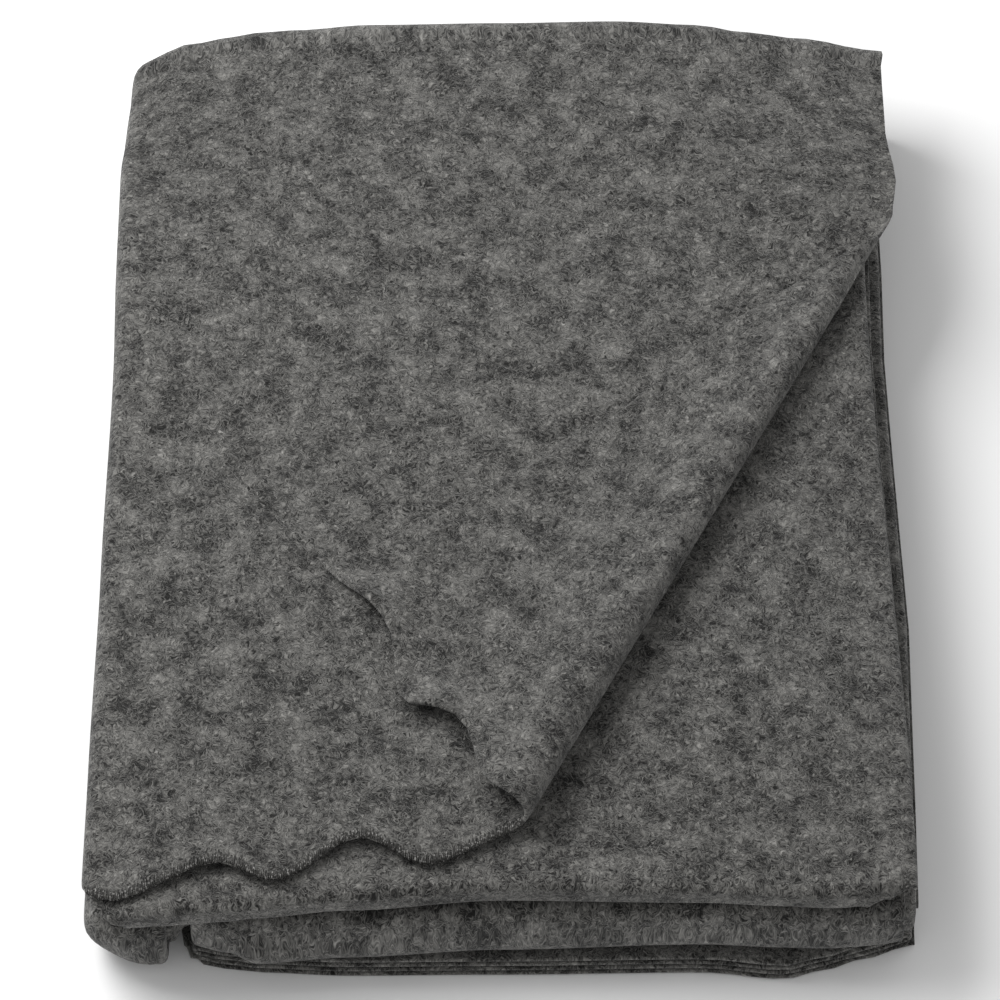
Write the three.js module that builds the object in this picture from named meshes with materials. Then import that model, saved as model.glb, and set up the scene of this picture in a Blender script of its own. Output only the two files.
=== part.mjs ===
// A fleece throw folded into a flat bundle, with one corner of its top layer turned back.
// Millimetres, +Z up. The origin is the middle of the underside, the wavy hem faces -Y.
//
// The throw is one cloth. It is laid out flat in u (across) and v (along), then folded twice:
// across, into a pack of four layers, and along, back and forth, into four passes of that pack.

import * as THREE from 'three';

// Driving dimensions
const CLOTH = 2; // thickness of the fleece
const PITCH = 3.4; // from one layer of the pack to the next
const RIGHT = 164; // right cut edge of the top layer
const BOTTOM_CLEAR = CLOTH / 2; // middle of the lowest layer above the surface

// Runs of the pack, in the order in which the cloth goes. Levels are in pitches from the
// middle of the pack. Each run ends in a half turn to the next one.
const RUNS = [
  { name: 'top', from: RIGHT, to: -158, level: 1.5 },
  { name: 'tuck', from: -158, to: -134, level: -1.5 },
  { name: 'tuckBack', from: -134, to: -158, level: -0.5 },
  { name: 'second', from: -158, to: 160, level: 0.5 },
  { name: 'third', from: 160, to: -119, level: -0.5 },
  { name: 'fourth', from: -119, to: 158, level: -1.5 },
];
const TURN_STEPS = { wide: 4, tight: 2 };

// Places across the bundle where the facets of all layers meet, and more for the top layer
const X_LINES = [-152, -145, -138, -131, -123, -107, -96, -60, 0, 70, 121, 141, 150, 156];
const TOP_LINES = [-77, -45, -29, -12, 8, 32, 52, 90];

// Passes of the pack, from the top one down. Up is 1 where the pack lies as in the top pass.
const PASSES = [
  { name: 'first', middle: 51.2, spread: 1.2, up: 1,
    lines: [-165, -126, -86, -46, -6, 34, 74, 114, 150, 182] },
  { name: 'next', middle: 34.2, spread: 1, up: -1, lines: [182, -120, -174] },
  { name: 'inner', middle: 20.2, spread: 1, up: 1, lines: [-174, -120, 182] },
  { name: 'lowest', middle: 1.5 * PITCH + BOTTOM_CLEAR, spread: 1, up: -1, lines: [182, -120] },
];
// Bends between the passes: where each one is centred, and how square its round is.
const BENDS = [
  { name: 'upper back', at: 210.5, side: 1, square: 3, steps: 3 },
  { name: 'front', at: -204, side: -1, square: 3.8, steps: 4 },
  { name: 'lower back', at: 208.5, side: 1, square: 2.3, steps: 3 },
];

// Front of the bundle at places across it: the fold of the second layer and how deep it hangs,
// how far back the big fold under it lies and how far its foot comes forward, the lowest pass
const FRONT = [
  { x: -164, lip: -217, hang: 5, fold: -2, toe: 0, base: -164 },
  { x: -150, lip: -221, hang: 6, fold: -4, toe: 0, base: -164 },
  { x: -137, lip: -222, hang: 6, fold: -3.5, toe: 0, base: -164 },
  { x: -131, lip: -222, hang: 6, fold: -2.5, toe: 0, base: -166 },
  { x: -124, lip: -221.5, hang: 5.5, fold: 0, toe: 0, base: -214 },
  { x: -106, lip: -220.5, hang: 5, fold: -3, toe: 1, base: -217 },
  { x: -96, lip: -219, hang: 5, fold: -4, toe: 5, base: -218.5 },
  { x: -60, lip: -215.5, hang: 5, fold: -3.5, toe: 2.5, base: -220 },
  { x: 0, lip: -211, hang: 5, fold: -1, toe: 1.5, base: -219.5 },
  { x: 80, lip: -212, hang: 5, fold: 0.5, toe: 0.5, base: -218.5 },
  { x: 112, lip: -213.5, hang: 5, fold: -1, toe: 0.5, base: -221.5 },
  { x: 128, lip: -214.5, hang: 5, fold: -2, toe: 0, base: -217.5 },
  { x: 141, lip: -214, hang: 5, fold: -1, toe: 0, base: -213 },
  { x: 164, lip: -211, hang: 5, fold: 2, toe: 0, base: -206 },
];
const LIP_ROUND = 2.6; // radius of the second layer's fold
const FULL_TURN = 0.3; // share of the hang at which it turns straight down
const LIP_RETURN = 3; // how far that layer goes back under itself
const HANG_ENDS = { left: [-157, -135], right: [158, 138] }; // where it starts to hang
const TURN_SHARE = 0.45; // share of a half turn next to it that keeps its front edge
const FOLD_REACH = [-120, -200]; // the stretch of y over which the big fold lies back
const TOE_REACH = { y: [-180, -208], z: [36, 16] };
const INNER_FRONT = -198; // cut edges of the third and fourth layers
// Wavy hem of the top layer laid flat: the fronts and the hollows of its waves
const HEM = [
  { x: -164, y: -212.5 },
  { x: -147, y: -216 },
  { x: -110, y: -203 },
  { x: -89, y: -210 },
  { x: -54, y: -191.5 },
  { x: -29, y: -202.5 },
  { x: 8, y: -189 },
  { x: 40, y: -196 },
  { x: 72, y: -186 },
  { x: 94, y: -198.5 },
  { x: 130, y: -182 },
  { x: 164, y: -186 },
];
// Right cut edge of the top layer: how far it strays from a straight line, from front to back
const SIDE_FROM = 90;
const SIDE = [
  { y: -186, out: 0 },
  { y: -142, out: -3.5 },
  { y: -62, out: -8.5 },
  { y: 20, out: 2 },
  { y: 98, out: -2.5 },
  { y: 117, out: 1 },
  { y: 136, out: 3 },
  { y: 170, out: -0.5 },
  { y: 208, out: -1 },
];

// Turned-back corner: the line along which it rolls over, from the right edge to the hem
const ROLL = { from: [158, 100], to: [10, -188], small: 4.5, large: 9.5 };
const ROLL_OVER = Math.PI + 0.36; // how far the cloth turns in the roll before it lies down
const ROLL_ARC = 3.6; // length of the roll, in radii
const ROLL_LIE = 12; // length at which the corner lies flat, in radii
const LAY = 3.2; // least height of the turned-back cloth over the layer under it
const ROLL_CUTS = 6; // lines across the roll, where its facets meet

// Back edge at places across: how far it comes forward
const BACK = [
  { x: -164, in: 18.5 },
  { x: -138, in: 11.5 },
  { x: -124, in: 8.6 },
  { x: -110, in: 5.5 },
  { x: -91, in: 4 },
  { x: -55, in: 1 },
  { x: 0, in: 0 },
  { x: 50, in: -1 },
  { x: 84, in: 1 },
  { x: 106, in: 5.2 },
  { x: 128, in: 8.5 },
  { x: 158, in: 14 },
];
const BACK_REACH = [110, 212]; // the stretch of y over which it does
// Left and right side from front to back: how far they stand in from a straight bundle
const LEFT_SIDE = [
  { y: -216, in: 0.5 },
  { y: -160, in: 1.6 },
  { y: -62, in: 2.9 },
  { y: 39, in: 4.2 },
  { y: 91, in: 3.4 },
  { y: 150, in: 3.4 },
  { y: 178, in: 5 },
  { y: 206, in: 6.5 },
];
const LEFT_FROM = [-50, -150];
const RIGHT_SIDE = [
  { y: -216, in: -0.4 },
  { y: -134, in: -1.2 },
  { y: -77, in: -1.8 },
  { y: -33, in: 0 },
  { y: 17, in: 1.7 },
  { y: 67, in: 3.2 },
  { y: 90, in: 1.4 },
  { y: 118, in: 3.6 },
  { y: 150, in: 3.2 },
  { y: 190, in: 0 },
];
const RIGHT_FROM = [60, 160]; // of the passes under the first
// Corners seen from above: how far their round reaches, and its share of a full round
const CORNERS = [
  { x: -156, y: 203, round: 20, share: 0.25 },
  { x: 164, y: 212, round: 9, share: 0.6 },
  { x: -164, y: -216, round: 10, share: 0.45 },
];
// Right fold of the second layer, which slants in from front to back
const SLANT = { in: 10, y: [-210, 92], back: [140, 200], x: [60, 160] };
const TAPER = { in: 4, z: [25, -9], y: [-168, -205], x: [-131, -160] }; // foot of the left corner
const RECESS = { back: 10, z: [30, 4], y: [-160, -200], x: [-138, -168] }; // and its outer end
const DIP = { down: 10, z: [56, 24], y: [-172, -206], x: [-124, -130] }; // left end of the big fold
const DROOP = { down: 8.4, y: [-165, -225], x: [-134, -160] }; // left front corner of the first pass
const MIDDLE = { x: 1.1, y: 0.8 }; // of the box that the tables give, which is centred last

const clamp01 = (value) => Math.min(1, Math.max(0, value));
const mix = (a, b, k) => a + (b - a) * k;
const ramp = (from, to, value) => clamp01((value - from) / (to - from));
const smooth = (from, to, value) => {
  const k = ramp(from, to, value);
  return k * k * (3 - 2 * k);
};

// A column of a table, at a place between its rows
function column(table, name, at, along = 'x') {
  let k = 1;
  while (k < table.length - 1 && table[k][along] < at) {
    k += 1;
  }
  const [a, b] = [table[k - 1], table[k]];
  return mix(a[name], b[name], smooth(a[along], b[along], at));
}

// Half turns between the runs: the cloth goes round the end of one run to the level of the next.
const PARTS = [];
let length = 0;
RUNS.forEach((run, k) => {
  const straight = Math.abs(run.to - run.from);
  PARTS.push({ ...run, run: run.name, start: length, length: straight });
  length += straight;
  const next = RUNS[k + 1];
  if (next) {
    const radius = (Math.abs(next.level - run.level) * PITCH) / 2;
    const arc = Math.PI * radius;
    const steps = radius > PITCH ? TURN_STEPS.wide : TURN_STEPS.tight;
    const side = Math.sign(run.to - run.from);
    PARTS.push({ run, next, radius, side, start: length, length: arc, steps });
    length += arc;
  }
});
const WIDTH = length;

// Where a point u across the cloth comes in the pack: its place, its level and its run
function across(u) {
  const part = PARTS.find((p) => u <= p.start + p.length) ?? PARTS[PARTS.length - 1];
  const k = clamp01((u - part.start) / part.length);
  if (typeof part.run === 'string') {
    return { x: mix(part.from, part.to, k), height: part.level * PITCH, run: part.run, k };
  }
  const middle = ((part.run.level + part.next.level) / 2) * PITCH;
  const turn = Math.sign(part.run.level - part.next.level);
  return {
    x: part.run.to + part.side * part.radius * Math.sin(Math.PI * k),
    height: middle + turn * part.radius * Math.cos(Math.PI * k),
    run: 'turn',
    k,
    ends: [part.run.name, part.next.name],
    at: part.run.to,
  };
}

// How much of the second layer's front hangs down: all of it, but for its two ends
const hangShare = (x) => smooth(...HANG_ENDS.left, x) * smooth(...HANG_ENDS.right, x);

// Front edge of the cloth in v, for each run
function frontOfRun(name, x) {
  if (name === 'top') {
    return column(HEM, 'y', x);
  }
  if (name === 'second') {
    const reach = Math.PI * LIP_ROUND + column(FRONT, 'hang', x) + LIP_RETURN;
    return column(FRONT, 'lip', x) - hangShare(x) * reach;
  }
  return INNER_FRONT;
}
function frontEdge(u) {
  const place = across(u);
  if (place.run !== 'turn') {
    return frontOfRun(place.run, place.x);
  }
  const [a, b] = place.ends.map((name) => frontOfRun(name, place.at));
  const late = place.ends[0] === 'second' ? TURN_SHARE : 0;
  const early = place.ends[1] === 'second' ? 1 - TURN_SHARE : 1;
  return mix(a, b, smooth(late, early, place.k));
}

// Passes and bends along v. In the first pass v is the same as y.
const WAY = [];
let reached = BENDS[0].at;
WAY.push({ pass: 0, start: -Infinity, end: reached, from: reached, toward: 1 });
BENDS.forEach((bend, k) => {
  const radius = (PASSES[k].middle - PASSES[k + 1].middle) / 2;
  WAY.push({ bend, pass: k, radius, start: reached, end: reached + Math.PI * radius });
  reached += Math.PI * radius;
  const next = BENDS[k + 1];
  const straight = next ? Math.abs(next.at - bend.at) : Infinity;
  WAY.push({ pass: k + 1, start: reached, end: reached + straight, from: bend.at, toward: -bend.side });
  reached += next ? straight : 0;
});
const LAST = WAY[WAY.length - 1];
const endEdge = (u) => LAST.start + LAST.from - column(FRONT, 'base', across(u).x);

// Front of the second layer: over its fold, down, and back under itself
function hangDown(reach, share, hang) {
  const quarter = (Math.PI / 2) * LIP_ROUND;
  const steps = 24;
  let [back, down] = [0, 0];
  for (let k = 0; k < steps; k += 1) {
    const at = (reach * (k + 0.5)) / steps;
    const turned = clamp01(at / quarter) + clamp01((at - quarter - hang) / quarter);
    const angle = (Math.PI / 2) * share * turned;
    back += (Math.cos(angle) * reach) / steps;
    down += (Math.sin(angle) * reach) / steps;
  }
  return [back, down];
}

// Where a point at v along the cloth, at a height in the pack, comes in y and z
function along(v, place) {
  const way = WAY.find((w) => v <= w.end) ?? LAST;
  const pass = PASSES[way.pass];
  if (way.bend) {
    const after = PASSES[way.pass + 1];
    const k = (v - way.start) / (way.end - way.start);
    const outward = pass.up; // the layers above the middle lie outside a bend at the back
    const radius = way.radius + outward * place.height * mix(pass.spread, after.spread, k);
    const power = 2 / way.bend.square;
    const [c, s] = [Math.cos(Math.PI * k), Math.sin(Math.PI * k)];
    const rise = Math.sign(c) * Math.abs(c) ** power;
    const z = (pass.middle + after.middle) / 2 + radius * rise;
    return { y: way.bend.at + way.bend.side * radius * Math.abs(s) ** power, z, pass: 'bend', way };
  }
  const z = pass.middle + pass.up * pass.spread * place.height;
  const y = way.from + way.toward * (v - (way.pass ? way.start : way.end));
  return { y, z, pass: pass.name, way };
}

// Section of the turned-back corner for a radius of one: it rolls over, then lies down.
const CURL_STEP = 0.05;
const CURL = [[0, 0]];
for (let k = 1; k * CURL_STEP < 40; k += 1) {
  const at = (k - 0.5) * CURL_STEP;
  const over = ROLL_OVER * smooth(-0.6, ROLL_ARC + 0.3, at);
  const angle = at < ROLL_ARC ? over : mix(ROLL_OVER, Math.PI, smooth(ROLL_ARC, ROLL_LIE, at));
  const [out, up] = CURL[k - 1];
  CURL.push([out + Math.cos(angle) * CURL_STEP, up + Math.sin(angle) * CURL_STEP]);
}
const ROLL_RUN = Math.hypot(ROLL.to[0] - ROLL.from[0], ROLL.to[1] - ROLL.from[1]);
const ALONG = [(ROLL.to[0] - ROLL.from[0]) / ROLL_RUN, (ROLL.to[1] - ROLL.from[1]) / ROLL_RUN];
const OUT = [-ALONG[1], ALONG[0]];
const rollRadius = (t) => mix(ROLL.small, ROLL.large, t / ROLL_RUN);

// Distance past the line where the roll starts, and along it
function rollPlace(x, y) {
  const [dx, dy] = [x - ROLL.from[0], y - ROLL.from[1]];
  const t = dx * ALONG[0] + dy * ALONG[1];
  return { t, s: dx * OUT[0] + dy * OUT[1] + rollRadius(t) };
}
function turnBack(x, y, z) {
  const { t, s } = rollPlace(x, y);
  if (s <= 0) {
    return [x, y, z];
  }
  const radius = Math.max(rollRadius(t), ROLL.small);
  const at = s / radius / CURL_STEP;
  const k = Math.min(Math.floor(at), CURL.length - 2);
  const out = mix(CURL[k][0], CURL[k + 1][0], at - k) * radius;
  const up = mix(CURL[k][1], CURL[k + 1][1], at - k) * radius;
  const lying = smooth(ROLL_ARC, ROLL_LIE, s / radius);
  const lift = Math.max(up, LAY * lying);
  return [x + OUT[0] * (out - s), y + OUT[1] * (out - s), z + lift];
}

// The bundle's own unevenness: rounded corners, a bowed back, a foot that tapers in
function settle(x, y, z, pass, run, isLowest) {
  let [px, py, pz] = [x, y, z];
  if (pass === 'first' && run !== 'top') {
    const slant = smooth(...SLANT.y, y) * (1 - smooth(...SLANT.back, y));
    px -= SLANT.in * slant * smooth(...SLANT.x, x);
  }
  py -= column(BACK, 'in', x) * smooth(...BACK_REACH, y);
  px += column(LEFT_SIDE, 'in', y, 'y') * smooth(...LEFT_FROM, x);
  px -= pass === 'first' ? 0 : column(RIGHT_SIDE, 'in', y, 'y') * smooth(...RIGHT_FROM, x);
  if (pass === 'first') {
    pz -= DROOP.down * ramp(...DROOP.y, y) * smooth(...DROOP.x, x);
  } else if (!isLowest) {
    pz -= DIP.down * smooth(...DIP.z, z) * smooth(...DIP.y, y) * smooth(...DIP.x, x);
  }
  px += TAPER.in * smooth(...TAPER.z, pz) * smooth(...TAPER.y, y) * smooth(...TAPER.x, x);
  py += RECESS.back * smooth(...RECESS.z, pz) * smooth(...RECESS.y, y) * smooth(...RECESS.x, x);
  for (const corner of CORNERS) {
    const a = clamp01((Math.sign(corner.x) * (px - corner.x) + corner.round) / corner.round);
    const b = clamp01((Math.sign(corner.y) * (py - corner.y) + corner.round) / corner.round);
    if (a > 0 && b > 0) {
      const size = corner.round * corner.share;
      px -= Math.sign(corner.x) * size * a * (1 - Math.sqrt(1 - (b * b) / 2));
      py -= Math.sign(corner.y) * size * b * (1 - Math.sqrt(1 - (a * a) / 2));
    }
  }
  return [px, py, pz];
}

// Where the point (u, v) of the flat cloth lies in the bundle
function folded(u, v) {
  const place = across(u);
  const spot = along(v, place);
  let { y, z } = spot;
  if (place.run === 'second' && spot.pass === 'first') {
    const lip = column(FRONT, 'lip', place.x) + LIP_ROUND;
    if (v < lip) {
      const share = smooth(0, FULL_TURN, hangShare(place.x));
      const [back, down] = hangDown(lip - v, share, column(FRONT, 'hang', place.x));
      y = lip - back;
      z -= down;
    }
  }
  if (spot.way.pass > 0 && spot.way.pass < 3) {
    const toe = column(FRONT, 'toe', place.x) * smooth(...TOE_REACH.y, y) * smooth(...TOE_REACH.z, z);
    y += column(FRONT, 'fold', place.x) * smooth(...FOLD_REACH, y) - toe;
  }
  const onTop = place.run === 'top' && spot.pass === 'first';
  const stray = onTop ? column(SIDE, 'out', y, 'y') * smooth(SIDE_FROM, RIGHT, place.x) : 0;
  const settled = settle(place.x + stray, y, z, spot.pass, place.run, spot.way.pass === 3);
  const [px, py, pz] = onTop ? turnBack(...settled) : settled;
  return [px - MIDDLE.x, py - MIDDLE.y, pz];
}

// Lines across and along the flat cloth, on which its facets meet
function linesAcross() {
  const lines = [0];
  for (const part of PARTS) {
    if (part.steps) {
      for (let k = 1; k < part.steps; k += 1) {
        lines.push(part.start + (part.length * k) / part.steps);
      }
    } else {
      const wanted = part.run === 'top' ? [...X_LINES, ...TOP_LINES] : X_LINES;
      const places = wanted.map((x) => (x - part.from) * Math.sign(part.to - part.from));
      const inside = places.filter((at) => at > 1 && at < part.length - 1).sort((a, b) => a - b);
      lines.push(...inside.map((at) => part.start + at));
    }
    lines.push(part.start + part.length);
  }
  return lines;
}
const EDGE_LINES = [0, 0.34, 0.72, 1]; // of the stretch that the second layer hangs by
function linesAlong(u) {
  const place = across(u);
  const front = frontEdge(u);
  const inner = Math.max(front + 9, column(FRONT, 'lip', place.x) + LIP_ROUND + 1);
  const lines = EDGE_LINES.map((k) => mix(front, inner, k));
  const end = endEdge(u);
  for (const way of WAY) {
    if (way.bend) {
      for (let k = 1; k < way.bend.steps; k += 1) {
        lines.push(mix(way.start, way.end, k / way.bend.steps));
      }
    } else {
      const zero = way.pass ? way.start : way.end;
      lines.push(...PASSES[way.pass].lines.map((y) => zero + (y - way.from) * way.toward));
    }
    lines.push(Math.min(way.end, end));
  }
  return lines;
}

// The flat cloth as cells between those lines
const points = [];
const us = linesAcross();
const rows = us.map((u) => linesAlong(u).map((v) => points.push([u, v]) - 1));
let cells = [];
for (let i = 0; i < rows.length - 1; i += 1) {
  for (let j = 0; j < rows[i].length - 1; j += 1) {
    cells.push([rows[i][j], rows[i + 1][j], rows[i + 1][j + 1], rows[i][j + 1]]);
  }
}

// Cells of the top layer are cut along lines of the roll, so that it folds on its facets.
function cutCells(all, sideOf) {
  const onEdge = new Map();
  const crossing = (a, b) => {
    const key = a < b ? `${a} ${b}` : `${b} ${a}`;
    if (!onEdge.has(key)) {
      const k = sideOf(a) / (sideOf(a) - sideOf(b));
      onEdge.set(key, points.push(points[a].map((value, i) => mix(value, points[b][i], k))) - 1);
    }
    return onEdge.get(key);
  };
  return all.flatMap((cell) => {
    const sides = cell.map(sideOf);
    if (sides.every((s) => s >= 0) || sides.every((s) => s <= 0)) {
      return [cell];
    }
    const halves = [[], []];
    cell.forEach((a, k) => {
      const b = cell[(k + 1) % cell.length];
      if (sides[k] >= 0) {
        halves[0].push(a);
      }
      if (sides[k] <= 0) {
        halves[1].push(a);
      }
      if (sides[k] * sides[(k + 1) % cell.length] < 0) {
        const between = crossing(a, b);
        halves[0].push(between);
        halves[1].push(between);
      }
    });
    return halves.filter((half) => half.length > 2);
  });
}
const TOP_END = PARTS[0].length;
const inTop = (cell) => cell.every((k) => points[k][0] <= TOP_END && points[k][1] <= BENDS[0].at);
for (let k = 0; k <= ROLL_CUTS; k += 1) {
  const at = k < ROLL_CUTS ? (k * ROLL_ARC) / (ROLL_CUTS - 1) : ROLL_LIE / 2;
  const sideOf = (i) => {
    const { t, s } = rollPlace(across(points[i][0]).x, points[i][1]);
    const side = s - at * rollRadius(t);
    return Math.abs(side) < 0.8 ? 0 : side;
  };
  const top = cells.filter(inTop);
  const rest = cells.filter((cell) => !inTop(cell));
  cells = [...rest, ...cutCells(top, sideOf)];
}

// Both faces of the cloth, half its thickness to each side of the folded sheet
const NEAR = 0.05;
const upper = [];
const lower = [];
for (const [u, v] of points) {
  const at = new THREE.Vector3(...folded(u, v));
  const [u0, u1] = [Math.max(u - NEAR, 0), Math.min(u + NEAR, WIDTH)];
  const du = new THREE.Vector3(...folded(u1, v)).sub(new THREE.Vector3(...folded(u0, v)));
  const dv = new THREE.Vector3(...folded(u, v + NEAR)).sub(new THREE.Vector3(...folded(u, v - NEAR)));
  const normal = dv.cross(du).normalize().multiplyScalar(CLOTH / 2);
  upper.push(at.clone().add(normal));
  lower.push(at.clone().sub(normal));
}

// One closed skin: the two faces, joined round the edge of the cloth
function closedSkin() {
  const position = [...upper, ...lower].flatMap((p) => p.toArray());
  const count = upper.length;
  const index = [];
  const edges = new Map();
  const apart = (a, b) => upper[a].distanceTo(upper[b]);
  for (const outline of cells) {
    const [a0, b0, c0, d0] = outline;
    const turned = outline.length === 4 && apart(a0, c0) > apart(b0, d0);
    const cell = turned ? [b0, c0, d0, a0] : outline; // split along its shorter diagonal
    for (let k = 1; k < cell.length - 1; k += 1) {
      index.push(cell[0], cell[k + 1], cell[k]);
      index.push(cell[0] + count, cell[k] + count, cell[k + 1] + count);
    }
    cell.forEach((a, k) => {
      const b = cell[(k + 1) % cell.length];
      if (!edges.delete(`${b} ${a}`)) {
        edges.set(`${a} ${b}`, [a, b]);
      }
    });
  }
  for (const [a, b] of edges.values()) {
    index.push(a, b, b + count, a, b + count, a + count);
  }
  const geometry = new THREE.BufferGeometry();
  geometry.setAttribute('position', new THREE.Float32BufferAttribute(position, 3));
  geometry.setIndex(index);
  geometry.computeVertexNormals();
  return geometry;
}

const fleece = new THREE.MeshStandardMaterial({ color: 0x5f5d5a, roughness: 0.97, metalness: 0 });
const throwCloth = new THREE.Mesh(closedSkin(), fleece);
throwCloth.name = 'throw';

const group = new THREE.Group();
group.add(throwCloth);
export default group;
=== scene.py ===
# %% [markdown]
# A folded fleece throw, step by step.
# The real object is one cloth of thick felted fleece, about 1.3 by 1.7 m, folded in four each
# way into a flat bundle, with one corner of its top layer turned back. This lesson loads the
# imported part as a fixed frame, makes the camera, lays the cloth out flat as a mesh, folds every
# point of it by a formula, and then gives it its thickness, its mottled felt and its stitched hem.

# %% Load the imported part as a fixed frame
import math

import bmesh
import bpy
import numpy as np
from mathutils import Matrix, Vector


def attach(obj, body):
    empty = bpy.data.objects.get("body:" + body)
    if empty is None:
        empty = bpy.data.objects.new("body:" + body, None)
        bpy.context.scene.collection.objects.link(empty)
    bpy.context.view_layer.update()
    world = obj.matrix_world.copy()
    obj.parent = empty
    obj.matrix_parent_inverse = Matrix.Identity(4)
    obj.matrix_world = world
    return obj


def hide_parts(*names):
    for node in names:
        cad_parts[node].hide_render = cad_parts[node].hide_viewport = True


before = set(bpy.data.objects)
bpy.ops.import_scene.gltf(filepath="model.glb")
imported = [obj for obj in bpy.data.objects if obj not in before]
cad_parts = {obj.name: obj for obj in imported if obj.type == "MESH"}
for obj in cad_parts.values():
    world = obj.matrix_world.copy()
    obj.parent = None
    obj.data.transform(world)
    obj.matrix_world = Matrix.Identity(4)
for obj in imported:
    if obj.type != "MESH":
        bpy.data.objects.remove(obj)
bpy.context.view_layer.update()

# %% [markdown]
# The camera comes first, so that each piece can be judged through it. The photograph looks down
# at the bundle's front from well above. A long lens from 2.4 m away keeps the sides of the
# bundle nearly parallel, as they are there, and no shift is needed when the camera simply aims
# at the middle of the bundle.

# %% Camera
MM = 0.001
LOOKED_AT = Vector((-0.0011, -0.0118, 0.030))
CAMERA_AWAY = 2.42
CAMERA_UP = math.radians(55)
FOCAL_SHARE = 5.88  # focal length over the width of the picture

toward_camera = Vector((0, -math.cos(CAMERA_UP), math.sin(CAMERA_UP)))
camera_data = bpy.data.cameras.new("camera")
camera_data.sensor_width = 36
camera_data.lens = camera_data.sensor_width * FOCAL_SHARE
camera = bpy.data.objects.new("camera", camera_data)
bpy.context.scene.collection.objects.link(camera)
camera.location = LOOKED_AT + toward_camera * CAMERA_AWAY
camera.rotation_euler = (-toward_camera).to_track_quat("-Z", "Y").to_euler()
bpy.context.scene.camera = camera
print("lens, mm:", round(camera_data.lens, 1))

# %% [markdown]
# How the cloth is folded. Think of a point of the flat cloth as u across and v along, in
# millimetres. Across, the cloth makes a pack of four layers: the top run, a short tuck on the
# left, and three runs under it. Along, that pack goes back and forth in four passes. A table
# names each run and each pass, so the whole fold can be read, and changed, in one place.

# %% Tables of the fold
CLOTH = 2.0  # thickness of the fleece
PITCH = 3.4  # from one layer of the pack to the next
RIGHT = 164.0  # right cut edge of the top layer
BOTTOM_CLEAR = CLOTH / 2
TOP, TUCK, TUCK_BACK, SECOND, THIRD, FOURTH = range(6)
RUNS = [
    {"run": TOP, "from": RIGHT, "to": -158, "level": 1.5},
    {"run": TUCK, "from": -158, "to": -134, "level": -1.5},
    {"run": TUCK_BACK, "from": -134, "to": -158, "level": -0.5},
    {"run": SECOND, "from": -158, "to": 160, "level": 0.5},
    {"run": THIRD, "from": 160, "to": -119, "level": -0.5},
    {"run": FOURTH, "from": -119, "to": 158, "level": -1.5},
]
PASSES = [
    {"name": "first", "middle": 51.2, "spread": 1.2, "up": 1},
    {"name": "next", "middle": 34.2, "spread": 1.0, "up": -1},
    {"name": "inner", "middle": 20.2, "spread": 1.0, "up": 1},
    {"name": "lowest", "middle": 1.5 * PITCH + BOTTOM_CLEAR, "spread": 1.0, "up": -1},
]
BENDS = [
    {"name": "upper back", "at": 210.5, "side": 1, "square": 3.0, "steps": 10},
    {"name": "front", "at": -204, "side": -1, "square": 3.8, "steps": 18},
    {"name": "lower back", "at": 208.5, "side": 1, "square": 2.3, "steps": 9},
]
# Front of the bundle at places across it: the fold of the second layer and how deep it hangs,
# how far back the big fold under it lies and how far its foot comes forward, the lowest pass
FRONT = [
    {"x": -164, "lip": -217, "hang": 5.0, "fold": -2, "toe": 0, "base": -164},
    {"x": -150, "lip": -221, "hang": 6.0, "fold": -4, "toe": 0, "base": -164},
    {"x": -137, "lip": -222, "hang": 6.0, "fold": -3.5, "toe": 0, "base": -164},
    {"x": -131, "lip": -222, "hang": 6.0, "fold": -2.5, "toe": 0, "base": -166},
    {"x": -124, "lip": -221.5, "hang": 5.5, "fold": 0, "toe": 0, "base": -214},
    {"x": -106, "lip": -220.5, "hang": 5.0, "fold": -3, "toe": 1, "base": -217},
    {"x": -96, "lip": -219, "hang": 5.0, "fold": -4, "toe": 5, "base": -218.5},
    {"x": -60, "lip": -215.5, "hang": 5.0, "fold": -3.5, "toe": 2.5, "base": -220},
    {"x": 0, "lip": -211, "hang": 5.0, "fold": -1, "toe": 1.5, "base": -219.5},
    {"x": 80, "lip": -212, "hang": 5.0, "fold": 0.5, "toe": 0.5, "base": -218.5},
    {"x": 112, "lip": -213.5, "hang": 5.0, "fold": -1, "toe": 0.5, "base": -221.5},
    {"x": 128, "lip": -214.5, "hang": 5.0, "fold": -2, "toe": 0, "base": -217.5},
    {"x": 141, "lip": -214, "hang": 5.0, "fold": -1, "toe": 0, "base": -213},
    {"x": 164, "lip": -211, "hang": 5.0, "fold": 2, "toe": 0, "base": -206},
]
LIP_ROUND = 2.6  # radius of the second layer's fold
FULL_TURN = 0.3  # share of the hang at which it turns straight down
LIP_RETURN = 3.0  # how far that layer goes back under itself
HANG_STEPS = 24  # in which its way down is added up
HANG_LEFT, HANG_RIGHT = (-157, -135), (158, 138)  # where it starts to hang
TURN_SHARE = 0.45  # share of a half turn next to it that keeps its front edge
FOLD_REACH = (-120, -200)  # the stretch of y over which the big fold lies back
TOE_REACH = {"y": (-180, -208), "z": (36, 16)}
INNER_FRONT = -198.0  # cut edges of the third and fourth layers
# Wavy hem of the top layer laid flat: the fronts and the hollows of its waves
HEM = [
    {"x": -164, "y": -212.5},
    {"x": -147, "y": -216},
    {"x": -110, "y": -203},
    {"x": -89, "y": -210},
    {"x": -54, "y": -191.5},
    {"x": -29, "y": -202.5},
    {"x": 8, "y": -189},
    {"x": 40, "y": -196},
    {"x": 72, "y": -186},
    {"x": 94, "y": -198.5},
    {"x": 130, "y": -182},
    {"x": 164, "y": -186},
]
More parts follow.
